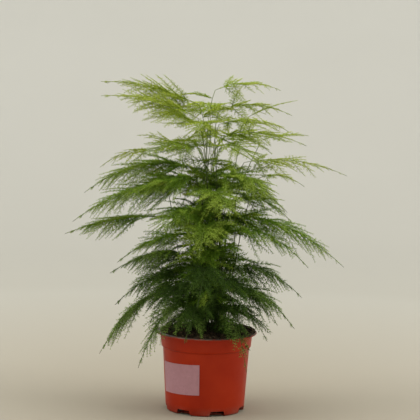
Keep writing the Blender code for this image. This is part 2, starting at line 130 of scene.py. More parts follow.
def add_piece(name, points, faces, finish):
    """A smooth-shaded mesh object from an array of points and an array of triangles."""
    mesh = bpy.data.meshes.new(name)
    mesh.vertices.add(len(points))
    mesh.vertices.foreach_set("co", np.asarray(points, np.float32).ravel())
    mesh.loops.add(faces.size)
    mesh.loops.foreach_set("vertex_index", np.asarray(faces, np.int32).ravel())
    mesh.polygons.add(len(faces))
    mesh.polygons.foreach_set("loop_start", np.arange(0, faces.size, 3, dtype=np.int32))
    mesh.update(calc_edges=True)
    mesh.shade_smooth()
    mesh.materials.append(finish)
    obj = bpy.data.objects.new(name, mesh)
    bpy.context.scene.collection.objects.link(obj)
    return obj


class Finish:
    """A material under construction: its nodes, and one Principled shader for all of it."""

    def __init__(self, name):
        self.material = bpy.data.materials.new(name)
        self.material.use_nodes = True
        self.nodes = self.material.node_tree.nodes
        self.links = self.material.node_tree.links
        self.shader = self.nodes["Principled BSDF"]

    def feed(self, socket, value):
        """Gives a socket its number, vector or colour, or links it to what another node gives."""
        if isinstance(value, bpy.types.NodeSocket):
            self.links.new(value, socket)
        else:
            socket.default_value = (*value, 1.0) if socket.type == "RGBA" else value

    def node(self, kind, inputs=None, **settings):
        """A new node with its settings, and what its inputs are fed."""
        made = self.nodes.new(kind)
        for key, value in settings.items():
            setattr(made, key, value)
        for socket, value in (inputs or {}).items():
            self.feed(made.inputs[socket], value)
        return made

    def set(self, socket, value):
        self.feed(self.shader.inputs[socket], value)

    def place(self):
        """Object coordinates, which are the piece's own metres."""
        return self.node("ShaderNodeTexCoord").outputs["Object"]

    def height(self):
        """The Z of Object coordinates."""
        return self.node("ShaderNodeSeparateXYZ", {"Vector": self.place()}).outputs["Z"]

    def radius(self):
        """How far Object coordinates are from the Z axis."""
        flat = self.node("ShaderNodeVectorMath", {0: self.place(), 1: (1, 1, 0)}, operation="MULTIPLY")
        return self.node("ShaderNodeVectorMath", {0: flat.outputs[0]}, operation="LENGTH").outputs["Value"]

    def noise(self, scale, detail, roughness=0.55):
        """Values around 0.5 from a noise with that many cells to the metre."""
        inputs = {"Vector": self.place(), "Scale": scale, "Detail": detail, "Roughness": roughness}
        return self.node("ShaderNodeTexNoise", inputs).outputs["Fac"]

    def ramp(self, value, spots, colours):
        """The colour at that value, between linear colours that stand at these spots."""
        made = self.node("ShaderNodeValToRGB", {"Fac": value})
        elements = made.color_ramp.elements
        while len(elements) < len(colours):
            elements.new(0.5)
        for element, spot, colour in zip(elements, spots, colours):
            element.position = spot
            element.color = (*colour, 1.0)
        return made.outputs["Color"]

    def spread(self, value, low, high, to_low=0.0, to_high=1.0):
        """The value moved from the range low to high into another one, and held inside it."""
        inputs = {"Value": value, "From Min": low, "From Max": high, "To Min": to_low, "To Max": to_high}
        return self.node("ShaderNodeMapRange", inputs, clamp=True).outputs["Result"]

    def maths(self, operation, first, second):
        return self.node("ShaderNodeMath", {0: first, 1: second}, operation=operation).outputs["Value"]

    def blend(self, share, below, above):
        """The colour below with the colour above laid over it by share. The sockets numbered 6 and 7
        are the mix's two colours, and output 2 is their mixture."""
        return self.node("ShaderNodeMix", {0: share, 6: below, 7: above}, data_type="RGBA").outputs[2]

    def bump(self, value, distance):
        made = self.node("ShaderNodeBump", {"Distance": distance, "Strength": 1.0, "Height": value})
        self.set("Normal", made.outputs["Normal"])


def pot_finish():
    """Terracotta-coloured plastic: mottled a little, scuffed, with pale and dark dust on the foot and on
    top of the lip, where the pale dust is partly a painted highlight, and peat stuck to the inner part of
    the lip."""
    finish = Finish("pot_plastic_dressed")
    plastic = finish.ramp(finish.noise(28, detail=4), (0.3, 0.7), PLASTIC_REDS)
    height = finish.height()
    # On top of the lip: dust, and a painted highlight where that dust is pale.
    lip = finish.spread(height, *(POT_HEIGHT - depth for depth in LIP_DUST_AND_SHEEN_DEPTHS))
    foot = finish.spread(height, FOOT_DUST_HEIGHT, 0.0, 0.0, FOOT_DUST)
    patches = finish.spread(finish.noise(160, detail=5), 0.25, 0.50)
    dust_and_sheen_share = finish.maths("MULTIPLY", finish.maths("MAXIMUM", lip, foot), patches)
    dust_and_sheen_colour = finish.ramp(finish.noise(40, detail=4), (0.40, 0.62), DUST_AND_SHEEN_COLOURS)
    dusty_and_sheened = finish.blend(dust_and_sheen_share, plastic, dust_and_sheen_colour)
    rim = POT_HEIGHT - RIM_DEPTH
    above = finish.spread(height, rim - STUCK_PEAT_EDGE, rim + STUCK_PEAT_EDGE)
    reach = BAND_TOP_RADIUS + STUCK_PEAT_REACH
    within = finish.spread(finish.radius(), reach, BAND_TOP_RADIUS + STUCK_PEAT_FULL)
    peaty = finish.maths("MULTIPLY", above, within)
    finish.set("Base Color", finish.blend(peaty, dusty_and_sheened, STUCK_PEAT))
    finish.set("Roughness", finish.spread(finish.noise(90, detail=6), 0.3, 0.7, 0.34, 0.50))
    finish.set("Specular IOR Level", 0.20)
    finish.bump(finish.noise(420, detail=4), 0.00006)
    return finish.material


def pot_outline():
    """The outline of half the pot, from the middle of its underside round to the middle inside."""
    rim = POT_HEIGHT - RIM_DEPTH
    outside = [
        (0.0, 0.0),
        (BASE_RADIUS - FOOT_BEVEL, 0.0),
        (BASE_RADIUS, FOOT_BEVEL),
        (SHOULDER_RADIUS, SHOULDER_HEIGHT),
        (BAND_RADIUS, SHOULDER_HEIGHT + BAND_STEP),
        (BAND_TOP_RADIUS, rim - LIP_FLANK),
        (RIM_RADIUS - LIP_CHAMFER, rim),
        (RIM_RADIUS, rim + LIP_FLANK),
        (RIM_RADIUS - LIP_CHAMFER, POT_HEIGHT),
    ]
    inside = [
        (BAND_TOP_RADIUS, POT_HEIGHT),
        (BAND_TOP_RADIUS - WALL, rim),
        (BAND_RADIUS - WALL, SHOULDER_HEIGHT + INSIDE_RISE + BAND_STEP),
        (SHOULDER_RADIUS - WALL, SHOULDER_HEIGHT + INSIDE_RISE),
        (BASE_RADIUS - WALL, FLOOR + FOOT_BEVEL),
        (BASE_RADIUS - WALL - FOOT_BEVEL, FLOOR),
        (0.0, FLOOR),
    ]
    return softened(outside + inside, SOFTENING)


def drain_wedges(material):
    """The gaps in the foot as closed wedges in one mesh, each narrower at its top. They reach a little
    past the wall and below the foot, so that the cut is clean."""
    middles = FIRST_DRAIN + 2 * math.pi * np.arange(DRAINS) / DRAINS
    radii = np.array([BASE_RADIUS - DRAIN_REACH, BASE_RADIUS + DRAIN_OUTSIDE])
    corners = [(0, -1), (1, -1), (1, 1), (0, 1)]
    points = []
    for height, narrow in ((-DRAIN_BELOW, 1.0), (DRAIN_HEIGHT, DRAIN_NARROWS)):
        for ring, side in corners:
            angle = middles + side * narrow * DRAIN_ANGLE / 2
            spot = [radii[ring] * np.sin(angle), -radii[ring] * np.cos(angle), height + 0 * angle]
            points.append(np.stack(spot, axis=1))
    one = [(3, 2, 1), (3, 1, 0), (4, 5, 6), (4, 6, 7)]
    for i in range(4):
        j = (i + 1) % 4
        one += [(i, j, 4 + j), (i, 4 + j, 4 + i)]
    points = np.stack(points, axis=1).reshape(-1, 3)
    faces = np.array(one) + 8 * np.arange(DRAINS)[:, None, None]
    return add_piece("drain_wedges", points, faces.reshape(-1, 3), material)


def apply_modifiers(obj):
    """Makes the object's modifiers part of its mesh."""
    graph = bpy.context.evaluated_depsgraph_get()
    done = bpy.data.meshes.new_from_object(obj.evaluated_get(graph))
    obj.modifiers.clear()
    obj.data = done


plastic = pot_finish()
pot_shell = add_piece("pot_shell", *turned(pot_outline(), POT_SEGMENTS), plastic)
wedges = drain_wedges(plastic)
cut = pot_shell.modifiers.new("drain_gaps", "BOOLEAN")
cut.operation = "DIFFERENCE"
cut.object = wedges
apply_modifiers(pot_shell)
bpy.data.objects.remove(wedges)
pot_shell.data.set_sharp_from_angle(angle=SHARP_ANGLE)
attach(pot_shell, "root")
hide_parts("pot")

# The sticker
# A self-adhesive paper sticker, stuck a little crooked on the wall by hand. It is left bare here, and
# the red of the pot shows through its thin paper.

STICKER_FROM = math.radians(-73)
STICKER_TO = math.radians(-8)
STICKER_MIDDLE = 0.0424
STICKER_HEIGHT = 0.0361
STICKER_TILT = math.radians(2.4)
STICKER_THICK = 0.00035
STICKER_GAP = 0.0002
CORNER_LIFT = 0.00018
CORNER_WIDTH = 0.05
PAPER_COLOURS = ((0.45, 0.225, 0.270), (0.52, 0.270, 0.320))
RUBBED_PAPER = (0.43, 0.200, 0.225)
STICKER_COLUMNS = 48
STICKER_ROWS = 26


def between(first, last, share):
    """The value at that share of the way from the first to the last."""
    return first + (last - first) * share


def wall_radius(height):
    """The outer radius of the plain wall at a height, below the band."""
    share = (height - FOOT_BEVEL) / (SHOULDER_HEIGHT - FOOT_BEVEL)
    return between(BASE_RADIUS, SHOULDER_RADIUS, share)


def sheet_round_wall(columns, rows):
    """A sheet bent round the wall: its height rises along it by the tilt, and its radius is the
    wall's at that height plus the gap, and a little more at the upper right corner. Two such grids,
    back and front, are joined at their edges."""
    angles = np.linspace(STICKER_FROM, STICKER_TO, columns)[None, :]
    across = (angles - (STICKER_FROM + STICKER_TO) / 2) * wall_radius(STICKER_MIDDLE)
    ends = np.linspace(-0.5, 0.5, rows)[:, None]
    height = STICKER_MIDDLE + math.tan(STICKER_TILT) * across + ends * STICKER_HEIGHT
    lifted = CORNER_LIFT * np.exp(-((angles - STICKER_TO) / CORNER_WIDTH) ** 2) * (ends + 0.5) ** 2
    layers = []
    for out in (STICKER_GAP, STICKER_GAP + STICKER_THICK):
        radius = wall_radius(height) + out + lifted
        layers.append(np.stack([radius * np.sin(angles), -radius * np.cos(angles), height], axis=2))
    points = np.concatenate([layer.reshape(-1, 3) for layer in layers])
    here = np.arange(rows * columns).reshape(rows, columns)
    a, b, c, d = here[:-1, :-1], here[:-1, 1:], here[1:, 1:], here[1:, :-1]
    front = np.stack([a, b, c, d], axis=2).reshape(-1, 4) + rows * columns
    back = np.stack([a, d, c, b], axis=2).reshape(-1, 4)
    rim = np.concatenate([here[0], here[1:, -1], here[-1, -2::-1], here[-2:0:-1, 0]])
    ahead = np.roll(rim, -1)
    edge = np.stack([rim, ahead, ahead + rows * columns, rim + rows * columns], axis=1)
    quads = np.concatenate([front, back, edge])
    return points, np.concatenate([quads[:, [0, 1, 2]], quads[:, [0, 2, 3]]])


def sticker_finish():
    """Thin matt paper over red plastic: a pinkish white with faint fibres and rubbed patches."""
    finish = Finish("sticker_paper_dressed")
    fibres = finish.noise(220, detail=6, roughness=0.7)
    paper = finish.ramp(fibres, (0.32, 0.68), PAPER_COLOURS)
    rubbed = finish.spread(finish.noise(55, detail=5), 0.55, 0.75, 0.0, 0.5)
    finish.set("Base Color", finish.blend(rubbed, paper, RUBBED_PAPER))
    finish.set("Roughness", 0.62)
    finish.bump(finish.noise(900, detail=4), 0.00004)
    return finish.material


sticker = add_piece("sticker_sheet", *sheet_round_wall(STICKER_COLUMNS, STICKER_ROWS), sticker_finish())
sticker.data.set_sharp_from_angle(angle=SHARP_ANGLE)
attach(sticker, "root")
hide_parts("sticker")

# The soil
# Dark peat compost, pressed in round the roots: a low crumbly mound, with loose crumbs and a few
# short fibres lying on it, and coarser crumbs spilled against the lip when the plant was potted.

GAP = 0.0003
SOIL_RADIUS = BAND_TOP_RADIUS - WALL - GAP
SOIL_EDGE = POT_HEIGHT - 0.0022
SOIL_MOUND = 0.0046
SOIL_BUMP = 0.0008
SOIL_SKIRT = 0.020
SOIL_RINGS = 52
SOIL_SEGMENTS = 160
CRUMBS = 1500
CRUMB_SIZES = (0.0005, 0.0021)
SPILLED = 620
SPILLED_SIZES = (0.0016, 0.0046)
SPILL_RADII = (0.040, 0.0592)
SPILL_TURN = math.radians(15)
SPILL_SPREAD = math.radians(55)
SPILL_HEAP = 0.0030
CRUMB_CORNERS = (0.6, 1.2)
FIBRES = 160
FIBRE_LENGTHS = (0.002, 0.007)
FIBRE_RISES = (0.0003, 0.0016)
FIBRE_HALF = 0.00018
LUMP_LENGTHS = (0.0011, 0.006)
LUMP_STEEPNESS = 0.030
PEAT_BROWNS = ((0.010, 0.007, 0.004), (0.045, 0.032, 0.016), (0.190, 0.130, 0.070))
SPIKE_POINTS = 4
SEED = 20


def soil_height(x, y):
    """A low mound with uneven crumbs, from two crossing waves. It is the CAD soil's own surface."""
    share = np.minimum(1.0, np.hypot(x, y) / SOIL_RADIUS)
    crumbs = np.sin(410 * x + 1.3) * np.cos(370 * y) + 0.6 * np.sin(690 * (x - y) + 0.4)
    return SOIL_EDGE + SOIL_MOUND * (1 - share**3) + SOIL_BUMP * crumbs * (1 - 0.5 * share**6)


def lumps(x, y, draw, waves=26):
    """Fine roughness: the sum of many waves with drawn directions and lengths, each as high as a small
    share of its length, and multiplied by its own size, so that crests and pits are narrow."""
    total = np.zeros_like(x)
    for _ in range(waves):
        length = draw.uniform(*LUMP_LENGTHS)
        turn, shift = draw.uniform(0, 2 * math.pi, 2)
        wave = np.sin(2 * math.pi * (x * math.cos(turn) + y * math.sin(turn)) / length + shift)
        total += LUMP_STEEPNESS * length * wave * np.abs(wave)
    return total


def crumb_shapes(places, size, draw):
    """Crumbs at these places: an octahedron each, with its corners drawn in or out, of this size and
    drawn turn, a little flattened and raised a quarter of its size."""
    count = len(size)
    corners = np.array([[1, 0, 0], [0, 1, 0], [-1, 0, 0], [0, -1, 0], [0, 0, 1], [0, 0, -1]], float)
    above = [(0, 1, 4), (1, 2, 4), (2, 3, 4), (3, 0, 4)]
    one = np.array(above + [(1, 0, 5), (2, 1, 5), (3, 2, 5), (0, 3, 5)])
    turn = draw.uniform(0, 2 * math.pi, count)
    shape = corners * draw.uniform(*CRUMB_CORNERS, (count, 6, 3)) * (size / 2)[:, None, None]
    cos, sin = np.cos(turn)[:, None], np.sin(turn)[:, None]
    turned_x = shape[..., 0] * cos - shape[..., 1] * sin
    turned_y = shape[..., 0] * sin + shape[..., 1] * cos
    middle = places + np.outer(size * 0.25, [0, 0, 1])
    points = np.stack([turned_x, turned_y, shape[..., 2] * 0.8], axis=2) + middle[:, None, :]
    faces = one + 6 * np.arange(count)[:, None, None]
    return points.reshape(-1, 3), faces.reshape(-1, 3)


def loose_crumbs(draw):
    """Crumbs all over the mound, small ones most often."""
    size = between(*CRUMB_SIZES, draw.random(CRUMBS) ** 2.2)
    radius = (SOIL_RADIUS - 0.002) * np.sqrt(draw.random(CRUMBS))
    angle = draw.uniform(0, 2 * math.pi, CRUMBS)
    x, y = radius * np.cos(angle), radius * np.sin(angle)
    return crumb_shapes(np.stack([x, y, soil_height(x, y)], axis=1), size, draw)


def spilled_crumbs(draw):
    """Coarser crumbs heaped against one side of the lip and spilled on top of it, densest at one turn.
    The heap is highest just inside the wall, as a half wave between its two radii."""
    size = between(*SPILLED_SIZES, draw.random(SPILLED) ** 1.8)
    share = draw.random(SPILLED) ** 0.7
    radius = between(*SPILL_RADII, share) - 0.4 * size
    off = draw.normal(0, 1, SPILLED)
    angle = SPILL_TURN + SPILL_SPREAD * off
    x, y = radius * np.cos(angle), radius * np.sin(angle)
    heap = SPILL_HEAP * np.sin(math.pi * share) * np.exp(-off * off / 2) * draw.random(SPILLED)
    floor = np.where(radius > SOIL_RADIUS - 0.0015, POT_HEIGHT, soil_height(x, y))
    return crumb_shapes(np.stack([x, y, floor + heap], axis=1), size, draw)


def unit(v):
    return v / np.linalg.norm(v, axis=-1, keepdims=True)


def spikes(feet, tips, halves):
    """Closed three-sided spikes: three corners round each foot, square to the way from foot to tip,
    and the tip. Each has a face at its foot and three sides that meet in its point."""
    along = unit(tips - feet)
    helper = np.where(np.abs(along[:, 2:]) < 0.8, [[0.0, 0.0, 1.0]], [[1.0, 0.0, 0.0]])
    first = unit(np.cross(along, helper))
    second = np.cross(along, first)
    ring = []
    for angle in (0, 2 * math.pi / 3, 4 * math.pi / 3):
        ring.append(feet + halves[:, None] * (math.cos(angle) * first + math.sin(angle) * second))
    points = np.stack(ring + [tips], axis=1).reshape(-1, 3)
    one = np.array([[0, 2, 1], [0, 1, 3], [1, 2, 3], [2, 0, 3]])
    return points, (one + SPIKE_POINTS * np.arange(len(feet))[:, None, None]).reshape(-1, 3)


def joined(parts):
    """Several (points, faces) as one."""
    starts = np.cumsum([0] + [len(points) for points, _ in parts[:-1]])
    faces = [part[1] + start for part, start in zip(parts, starts)]
    return np.concatenate([points for points, _ in parts]), np.concatenate(faces)


def soil_surface(draw):
    """The compost's top as a turned grid, raised by its height formula and its lumps, with a skirt
    down inside the wall and a flat underside that close it."""
    radii = SOIL_RADIUS * np.linspace(1, 0, SOIL_RINGS)
    bottom = SOIL_EDGE - SOIL_SKIRT
    skirt = [(0.0, bottom), (SHOULDER_RADIUS - WALL - 2 * GAP, bottom)]
    outline = np.array(skirt + [(radius, SOIL_EDGE) for radius in radii])
    points, faces = turned(outline, SOIL_SEGMENTS)
    top = points[:, 2] > bottom + 0.001
    x, y = points[top, 0], points[top, 1]
    inner = np.clip((SOIL_RADIUS - np.hypot(x, y)) / 0.003, 0, 1)
    points[top, 2] = soil_height(x, y) + inner * lumps(x, y, draw)
    return points, faces


def soil_fibres(draw):
    """Short fibres that lie on the peat, each a thin spike between two points near its surface."""
    radius = (SOIL_RADIUS - 0.006) * np.sqrt(draw.random(FIBRES))
    angle, turn = draw.uniform(0, 2 * math.pi, (2, FIBRES))
    length = draw.uniform(*FIBRE_LENGTHS, FIBRES)
    start = np.stack([radius * np.cos(angle), radius * np.sin(angle)], axis=1)
    end = start + length[:, None] * np.stack([np.cos(turn), np.sin(turn)], axis=1)
    end *= np.minimum(1, (SOIL_RADIUS - 0.003) / np.linalg.norm(end, axis=1))[:, None]
    raised = draw.uniform(*FIBRE_RISES, (2, FIBRES))
    feet = np.column_stack([start, soil_height(*start.T) + raised[0]])
    tips = np.column_stack([end, soil_height(*end.T) + raised[1]])
    return spikes(feet, tips, np.full(FIBRES, FIBRE_HALF))


def soil_finish():
    """Peat: nearly black brown, with warmer crumbs, quite rough."""
    finish = Finish("peat_dressed")
    crumbs = finish.noise(330, detail=6, roughness=0.65)
    finish.set("Base Color", finish.ramp(crumbs, (0.32, 0.52, 0.72), PEAT_BROWNS))
    finish.set("Roughness", 0.92)
    finish.set("Specular IOR Level", 0.25)
    finish.bump(finish.noise(1500, detail=4), 0.0002)
    return finish.material


draw = np.random.default_rng(SEED)
soil_mesh = joined([soil_surface(draw), loose_crumbs(draw), soil_fibres(draw), spilled_crumbs(draw)])
soil_top = add_piece("peat_top", *soil_mesh, soil_finish())
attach(soil_top, "root")
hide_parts("soil")

# The fronds
# Each frond is one wiry stem out of the crown, bent over into a rachis with flat side branches. They
# carry short branchlets, and all of it is set with tufts of soft green needles, which are its leaves.

UP = np.array([0.0, 0.0, 1.0])
STEM_HALF = 0.00052
RACHIS_HALF = 0.00034
RACHIS_END_HALF = 0.00022
BRANCH_HALF = 0.00026
BRANCH_END_HALF = 0.00012
BRANCH_STATIONS = 5
BRANCH_SIDES = 3
STEM_SIDES = 6
STEM_SWAY = 0.085
ROOT_PLUG = 0.008
ROOT_STANDS = 0.006
BEND_REACH = 0.018
NODE_PITCH = 0.0104
FIRST_NODE = 0.08
WHIP = 0.15
BRANCH_ANGLES = (math.radians(63), math.radians(38))
BRANCH_STRETCH = (0.84, 1.08)
BRANCH_SWING = 4
BRANCH_LIFT = (-5, 7)
MOST_NODES = 40
RACHIS_BOW = 0.006
BRANCH_CURL = 0.16
BRANCH_SAG = {"upper": 0.05, "middle": 0.16, "lower": 0.32}
SHORTEST_BRANCH = 0.007
SPREAD_FROM = 0.16
BETWEEN = 0.22
STEM_SPRAY_LOW = {"upper": 0.185, "middle": 0.125, "lower": 0.104}
STEM_SPRAY_HIGH = 0.295
STEM_SPRAY_PITCH = {"upper": 0.027, "middle": 0.0128, "lower": 0.0090}
STEM_SPRAY_LENGTH = {"upper": (0.030, 0.050), "middle": (0.032, 0.058), "lower": (0.036, 0.068)}
STEM_SPRAY_SHIFT = 0.8
STEM_SPRAY_RISE = (5, 32)
STEM_SPRAY_SAG = 0.25
BELOW_BEND = 0.006
CROWN_BAND = (0.002, 0.032)
CROWN_RISE = 6
STEM_SPRAY_COARSE = 1.30
STEM_SPRAY_REACH = 1.9
GOLDEN_TURN = math.radians(137.5)
LOOSE_LIFT = (math.radians(26), math.radians(7))
LOOSEST_LIFT = (math.radians(58), math.radians(46))
LEAST_TURN = 0.35
LESS_UP = 0.45
LOOSE_LONGER = 1.16
LOOSE_CROWDING = 1.35
LOOSE_REACH = 1.10
FALL = (0.72, 0.66, 0.84)
LOOSE_TURN = {"upper": 1.15, "middle": 0.95, "lower": 0.85}
LOOSE_BRANCHES = {"upper": 1, "middle": 2, "lower": 2}
FINENESS = {"upper": 0.90, "middle": 1.0, "lower": 1.06}
FLATNESS = {"upper": 0.30, "middle": 0.42, "lower": 0.50}
TWIG_LIFT = {"upper": 6, "middle": 10, "lower": 14}
ROLL = {"upper": 20, "middle": 35, "lower": 50}
STEM_SPRAY_ROLL = 55
BRANCHLET_PITCH = 0.0027
BRANCHLET_LENGTH = 0.0070
BRANCHLET_STRETCH = (0.75, 1.12)
BRANCHLET_CURL = 0.10
SHORTEST_BRANCHLET = 0.0022
FULL_BRANCH = 0.030
BRANCHLET_ANGLES = (math.radians(52), math.radians(34))
BRANCHLET_HALF = 0.00018
TUFT_PITCH = 0.0021
TUFT_NEEDLES = 3
RACHIS_TUFTED = (0.06, 0.97)
RACHIS_TUFTING = 0.8
RACHIS_TUFT_SIZES = (0.90, 0.48)
NEEDLE_LENGTH = (0.0042, 0.0066)
NEEDLE_HALF = 0.00041
NEEDLE_ANGLE = (math.radians(46), math.radians(12))
TIP_FINER = 0.42
THORN_PITCH = 0.016
THORN_OUT = 0.0020
THORN_DOWN = 0.0008
THORN_HALF = 0.0004
THORN_TONE = 0.04
BRANCH_TONE = 0.12
TWIG_TONE = 0.25
LEAF_TONE = 0.28
TONE_NOISE = 0.05
INNER_SHARE = 0.1

Frond = namedtuple(
    "Frond",
    "turn bend_r bend_z tip_r tip_z arch roll width loose fall swept bare up crown age",
    defaults=(None, None, None, 0.0, LESS_UP, 0, 0.0),
)

# turn and roll are in degrees, and the six other plain numbers of a row in millimetres. turn 0 is
# right, 90 away, 180 left and -90 towards the front. bend is where the stem becomes the rachis, and
# tip is the rachis's end, each as radius and height. arch is how far the rachis's middle rises over
# the straight line. width is the longest side branch. The rest is given only where a frond differs
# from its tier: loose is its loose branches at a node, fall the power by which its branches shorten
# towards the tip, swept how wide the loose ones stand, bare the share at its foot where only the CAD's
# own branches grow, up how far the loose ones turn upwards, crown its sprays right under the bend, and
# age makes its green lighter, or darker below 0.
UPPER = [
    Frond(176, 14, 360, 131, 385, 8, 12, 46, loose=5, swept=1.0, up=0.28, crown=7, age=0.12),
    Frond(194, 16, 345, 131, 369, 9, -10, 46, loose=5, swept=1.0, crown=4, age=0.12),
    Frond(14, 4, 378, 84, 379, 9, 8, 36, loose=2, up=0.15, crown=2),
    Frond(-14, 10, 356, 96, 351, 9, -12, 40, loose=2),
    Frond(4, 44, 348, 101, 368, 3, 0, 18, loose=0),
    Frond(38, 12, 338, 128, 325, 11, 8, 44),
    Frond(-27, 14, 325, 122, 318, 9, -8, 42, loose=2),
    Frond(14, 62, 320, 120, 326, 4, 10, 34, loose=0, age=0.15),
    Frond(5, 40, 294, 163, 280, 10, 6, 46, age=0.35),
    Frond(-11, 58, 277, 112, 269, 8, -6, 30, loose=0, age=0.35),
    Frond(187, 66, 306, 129, 286, 8, 14, 34, age=0.72),
    Frond(163, 24, 301, 92, 322, 8, -14, 34, age=0.70),
    Frond(142, 16, 332, 92, 347, 8, 10, 38, loose=4, swept=0.8),
    Frond(96, 10, 348, 118, 354, 10, 0, 44, crown=2),
    Frond(68, 16, 316, 128, 310, 11, 6, 46),
    Frond(118, 18, 308, 130, 300, 12, -8, 46),
    Frond(-98, 10, 336, 112, 322, 12, 4, 44),
    Frond(-62, 14, 312, 122, 293, 12, 8, 44),
    Frond(-136, 16, 310, 124, 296, 12, -8, 44, age=-0.25),
]
MIDDLE = [
    Frond(173, 10, 283, 150, 253, 20, 8, 50, loose=5, fall=0.50),
    Frond(184, 16, 264, 160, 221, 18, -8, 50, loose=5, fall=0.50),
    Frond(177, 26, 225, 171, 204, 11, 10, 46, loose=6, fall=0.50, bare=0.26),
    Frond(-4, 14, 265, 92, 237, 13, -10, 44),
    Frond(-3, 24, 231, 160, 174, 17, 8, 50, loose=3, fall=0.50),
    Frond(20, 26, 249, 108, 219, 14, -6, 44),
    Frond(-95, 24, 221, 116, 192, 12, 4, 42, age=0.21),
    Frond(201, 28, 208, 112, 178, 10, 0, 36, loose=4),
    Frond(-152, 18, 271, 130, 239, 15, 8, 46, loose=3),
    Frond(-44, 18, 277, 118, 245, 15, -8, 46, age=0.12),
    Frond(-78, 16, 259, 126, 231, 14, 8, 46, age=0.15),
    Frond(46, 18, 273, 122, 237, 16, 8, 46),
    Frond(86, 18, 271, 142, 239, 16, -8, 48),
    Frond(134, 18, 269, 144, 235, 16, 8, 48, loose=3),
    Frond(-122, 22, 239, 122, 204, 14, 6, 44),
    Frond(112, 22, 231, 134, 192, 15, 6, 46),
    Frond(60, 24, 225, 134, 186, 15, -6, 46),
    Frond(-24, 26, 217, 126, 178, 14, 6, 42),
]
LOWER = [
    Frond(189, 22, 184, 116, 162, 11, 6, 44, loose=6),
    Frond(190, 40, 138, 127, 67, 22, 8, 34, loose=6, fall=0.30, swept=0.62, bare=0.20, age=0.16),
    Frond(216, 36, 128, 96, 58, 20, -6, 28, loose=4, fall=0.40, swept=0.70, age=0.16),
    Frond(-3, 30, 172, 112, 136, 12, 6, 40, loose=3),
    Frond(-22, 34, 144, 110, 105, 14, -6, 38, loose=4),
    Frond(28, 36, 136, 98, 93, 16, 6, 36),
    Frond(-53, 34, 121, 78, 57, 22, 0, 24, fall=0.40, age=0.10),
    Frond(-169, 28, 162, 110, 125, 13, -6, 38, loose=6),
    Frond(-131, 28, 152, 98, 113, 13, 6, 38, age=-0.22),
    Frond(-96, 26, 172, 106, 136, 14, 6, 40, age=-0.30),
    Frond(-62, 28, 160, 104, 119, 14, -6, 38, age=-0.30),
    Frond(58, 28, 166, 108, 125, 14, 6, 40),
    Frond(92, 28, 170, 112, 128, 14, -6, 40),
    Frond(128, 28, 162, 110, 121, 14, 6, 40, loose=3),
    Frond(157, 32, 142, 104, 99, 14, -6, 36, loose=6),
    Frond(-106, 32, 130, 88, 93, 12, 0, 30, age=-0.10),
    Frond(-35, 32, 128, 86, 91, 12, 0, 30, age=-0.10),
    Frond(76, 32, 130, 88, 93, 12, 0, 30),
]
TIERS = {"upper": UPPER, "middle": MIDDLE, "lower": LOWER}


def dots(a, b):
    """Dot products of two arrays of vectors, kept as a column."""
    return np.sum(a * b, axis=-1, keepdims=True)


def stem_foot(node):
    """Where a CAD frond stands: the middle of the lowest corners of the part of it that is over the
    soil, raised to the soil's surface. A drooping tip may be lower, but it is outside the pot."""
    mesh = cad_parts[node].data
    corners = np.empty(3 * len(mesh.vertices), np.float32)
    mesh.vertices.foreach_get("co", corners)
    corners = corners.reshape(-1, 3).astype(float)
    corners = corners[np.hypot(corners[:, 0], corners[:, 1]) < 0.7 * SOIL_RADIUS]
    low = corners[corners[:, 2] < corners[:, 2].min() + 0.0005]
    return (low.min(axis=0) + low.max(axis=0)) / 2 + UP * ROOT_PLUG


class Lines:
    """The lines of one frond, from the same sizes and draws as its CAD node."""

    def __init__(self, frond, index, tier, root):
        draw = np.random.default_rng(SEED + index)
        self.frond, self.tier, self.root = frond, tier, root
        angle = math.radians(frond.turn)
        out = np.array([math.cos(angle), math.sin(angle), 0.0])
        self.left = np.array([-out[1], out[0], 0.0])
        self.roll = math.radians(frond.roll)
        self.bend = out * frond.bend_r / 1000 + UP * frond.bend_z / 1000
        self.tip = out * frond.tip_r / 1000 + UP * frond.tip_z / 1000
        bow = draw.uniform(-RACHIS_BOW, RACHIS_BOW)
        arch = UP * 2 * frond.arch / 1000
        self.middle = (self.bend + self.tip) / 2 + arch + self.left * bow
        self.sag = BRANCH_SAG[tier]
        self.width = frond.width / 1000
        self.length = np.linalg.norm(self.tip - self.bend)
        self.count = max(5, round(self.length * (1 - WHIP - FIRST_NODE) / NODE_PITCH))
        self.stretch = draw.uniform(*BRANCH_STRETCH, MOST_NODES)
        self.swing = np.radians(draw.uniform(-BRANCH_SWING, BRANCH_SWING, MOST_NODES))
        self.lift = np.radians(draw.uniform(*BRANCH_LIFT, MOST_NODES))
        self.first_side = 1 if draw.random() < 0.5 else -1
        turn = draw.uniform(0, 2 * math.pi)
        self.sway = STEM_SWAY * np.array([math.cos(turn), math.sin(turn), 0.0])

    def rachis(self, t):
        """Points and directions at shares t of a quadratic curve from the bend over to the tip."""
        t = np.asarray(t, float)[:, None]
        a, b, c = self.bend, self.middle, self.tip
        points = (1 - t) ** 2 * a + 2 * t * (1 - t) * b + t * t * c
        return points, unit(2 * (1 - t) * (b - a) + 2 * t * (c - b))

    def stem(self, t):
        """Points and directions at shares t of a cubic curve from the soil up into the rachis."""
        t = np.asarray(t, float)[:, None]
        a = self.root + UP * ROOT_STANDS
        d = self.bend
        rise = d[2] - a[2]
        b = a + UP * 0.5 * rise + self.sway * rise
        c = d - unit(self.middle - self.bend) * min(BEND_REACH, 0.3 * rise) - UP * 0.12 * rise
        s = 1 - t
        points = s**3 * a + 3 * s * s * t * b + 3 * s * t * t * c + t**3 * d
        return points, unit(3 * s * s * (b - a) + 6 * s * t * (c - b) + 3 * t * t * (d - c))

    def sides(self, along, roll):
        """Left and up at points of the line, rolled about it."""
        left = unit(self.left - dots(self.left, along) * along)
        up = np.cross(along, left)
        cos, sin = np.cos(roll), np.sin(roll)
        return cos * left + sin * up, cos * up - sin * left


